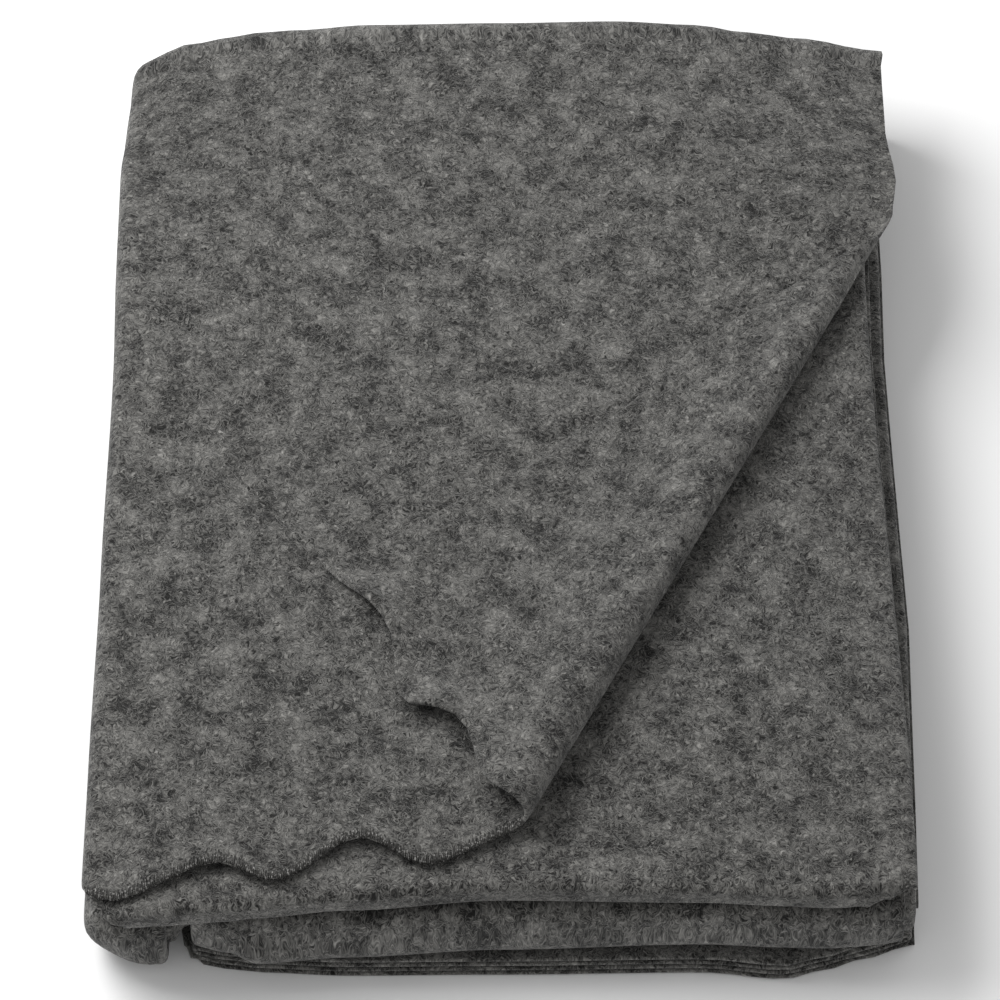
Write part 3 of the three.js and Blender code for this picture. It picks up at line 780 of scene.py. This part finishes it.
print("felt nodes:", len(felt.nodes))

# %% [markdown]
# The hem. On the real throw an overlock seam runs along the wavy hem: a thread goes from a line
# about 3.6 mm inside the edge, over the edge, a little way back under it, and back again, every
# millimetre and a half. It is one long path here, laid on the folded cloth point by point with
# the cloth's own formula, and then given a round section of five sides.

# %% The overlock thread along the front hem
SEAM_FROM, SEAM_TO = 152.0, 326.0  # from the roll to the left side, in u
SEAM_PITCH, THREAD = 1.5, 0.27  # length of one zigzag, radius of the thread
STITCH = [  # one half of a zigzag: distance inside the edge, and height over the cloth's middle
    (3.6, 1.05), (2.8, 1.28), (1.7, 1.25), (0.6, 1.12), (-0.15, 0.62), (-0.3, -0.1),
    (-0.1, -0.7), (0.9, -1.05),
]
STITCH_DEPTH = (0.82, 1.12)  # shares between which the depth of a stitch varies
STITCH_STRAY = 0.2  # to each side along the hem
THREAD_SIDES = 5
LEANING = (0.3, 0.2, 1.0)  # a direction that the thread never takes
NEARBY = 0.2  # distance on the cloth over which its slope is measured


def on_cloth(u, v, height):
    spot = np.stack(folded(u, v), axis=1)
    along_u = np.stack(folded(u + NEARBY, v), axis=1) - np.stack(folded(u - NEARBY, v), axis=1)
    along_v = np.stack(folded(u, v + NEARBY), axis=1) - np.stack(folded(u, v - NEARBY), axis=1)
    normal = np.cross(along_v, along_u)
    normal /= np.linalg.norm(normal, axis=1)[:, None]
    return spot + normal * height[:, None]


def seam_path():
    draw = np.random.default_rng(7)
    way = np.array(STITCH + STITCH[-2:0:-1])
    stitches = int((SEAM_TO - SEAM_FROM) / SEAM_PITCH)
    steps = np.arange(stitches * len(way))
    inside = way[steps % len(way), 0] * np.repeat(draw.uniform(*STITCH_DEPTH, stitches), len(way))
    stray = draw.uniform(-STITCH_STRAY, STITCH_STRAY, stitches)
    u = SEAM_FROM + SEAM_PITCH * steps / len(way) + np.repeat(stray, len(way))
    print("stitches:", stitches)
    return on_cloth(u, front_edge(u) + inside, way[steps % len(way), 1])


def round_tube(path, radius, sides):
    ahead = np.gradient(path, axis=0)
    ahead /= np.linalg.norm(ahead, axis=1)[:, None]
    side = np.cross(ahead, LEANING)
    side /= np.linalg.norm(side, axis=1)[:, None]
    other = np.cross(ahead, side)
    rings = []
    for k in range(sides):
        angle = 2 * math.pi * k / sides
        rings.append(path + radius * (math.cos(angle) * side + math.sin(angle) * other))
    faces = []
    last = (len(path) - 1) * sides
    for start in range(0, last, sides):
        for k in range(sides):
            a, b = start + k, start + (k + 1) % sides
            faces.append((a, b, b + sides, a + sides))
    ends = [tuple(range(sides))[::-1], tuple(range(last, last + sides))]
    return np.stack(rings, axis=1).reshape(-1, 3), faces + ends


points, faces = round_tube(seam_path(), THREAD, THREAD_SIDES)
thread_mesh = bpy.data.meshes.new("hem_thread")
thread_mesh.from_pydata((points * MM).tolist(), [], faces)
thread_mesh.polygons.foreach_set("use_smooth", [True] * len(faces))
thread_mesh.update()
thread = bpy.data.objects.new("hem_thread", thread_mesh)
bpy.context.scene.collection.objects.link(thread)
print("thread:", len(faces), "faces")

# %% [markdown]
# The thread is a mixed yarn: seen close it is mostly dark, with light flecks where a pale strand
# comes up. A fine noise in the object's own space, read between two levels, gives these flecks.

# %% The thread's colour
THREAD_DARK, THREAD_LIGHT = (0.032, 0.031, 0.029), (0.25, 0.245, 0.235)
FLECK_CELLS, FLECK_LEVELS = 900.0, (0.5, 0.68)  # cells per metre, and where dark and light end
yarn = Tree("hem_thread")
spot = yarn.nodes.new("ShaderNodeTexCoord").outputs["Object"]
fleck = yarn.between(yarn.noise(spot, FLECK_CELLS, 2.0, 0.6)["Fac"], *FLECK_LEVELS)
yarn.put(yarn.shader.inputs["Base Color"], yarn.blend(fleck, THREAD_DARK, THREAD_LIGHT))
yarn.shader.inputs["Roughness"].default_value = 0.7
yarn.shader.inputs["Specular IOR Level"].default_value = 0.3
thread_mesh.materials.append(yarn.material)
print("thread nodes:", len(yarn.nodes))

# %% [markdown]
# The photograph is on plain white, in soft light that comes a little from the left. So the floor
# is a plain pale plane just under the bundle, a large lamp stands to the left above it, and a
# white world fills the shadows. The Standard view keeps the greys as they are lit.

# %% Floor, light and world
FLOOR_HALF, FLOOR_CLEAR, FLOOR_TONE = 3, 0.0005, 0.9
WORLD_STRENGTH = 0.6
LAMP_AT, LAMP_SIZE, LAMP_WATTS = (-0.75, 0.35, 1.15), 0.9, 20

floor_data = bpy.data.meshes.new("floor")
corners = [(x * FLOOR_HALF, y * FLOOR_HALF, 0) for x, y in ((-1, -1), (1, -1), (1, 1), (-1, 1))]
floor_data.from_pydata(corners, [], [(0, 1, 2, 3)])
floor = bpy.data.objects.new("floor", floor_data)
floor.location.z = -FLOOR_CLEAR
bpy.context.scene.collection.objects.link(floor)
pale = bpy.data.materials.new("floor_pale")
pale.use_nodes = True
pale_shader = pale.node_tree.nodes["Principled BSDF"]
pale_shader.inputs["Base Color"].default_value = (FLOOR_TONE, FLOOR_TONE, FLOOR_TONE, 1)
pale_shader.inputs["Roughness"].default_value = 0.9
floor_data.materials.append(pale)
world = bpy.data.worlds.new("studio")
bpy.context.scene.world = world
world.use_nodes = True
world.node_tree.nodes["Background"].inputs["Color"].default_value = (1, 1, 1, 1)
world.node_tree.nodes["Background"].inputs["Strength"].default_value = WORLD_STRENGTH
lamp_data = bpy.data.lights.new("softbox", "AREA")
lamp_data.size = LAMP_SIZE
lamp_data.energy = LAMP_WATTS
lamp = bpy.data.objects.new("softbox", lamp_data)
bpy.context.scene.collection.objects.link(lamp)
lamp.location = LAMP_AT
lamp.rotation_euler = (LOOKED_AT - lamp.location).to_track_quat("-Z", "Y").to_euler()
bpy.context.scene.view_settings.view_transform = "Standard"
print("lamp away, m:", round((LOOKED_AT - lamp.location).length, 2))

# %% [markdown]
# Last, each piece is attached to the root body, and the imported solid of the throw is hidden.

for piece, slot in ((fleece, "fleece"), (thread, "hem_thread")):
    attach(piece, "root")
    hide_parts("throw")
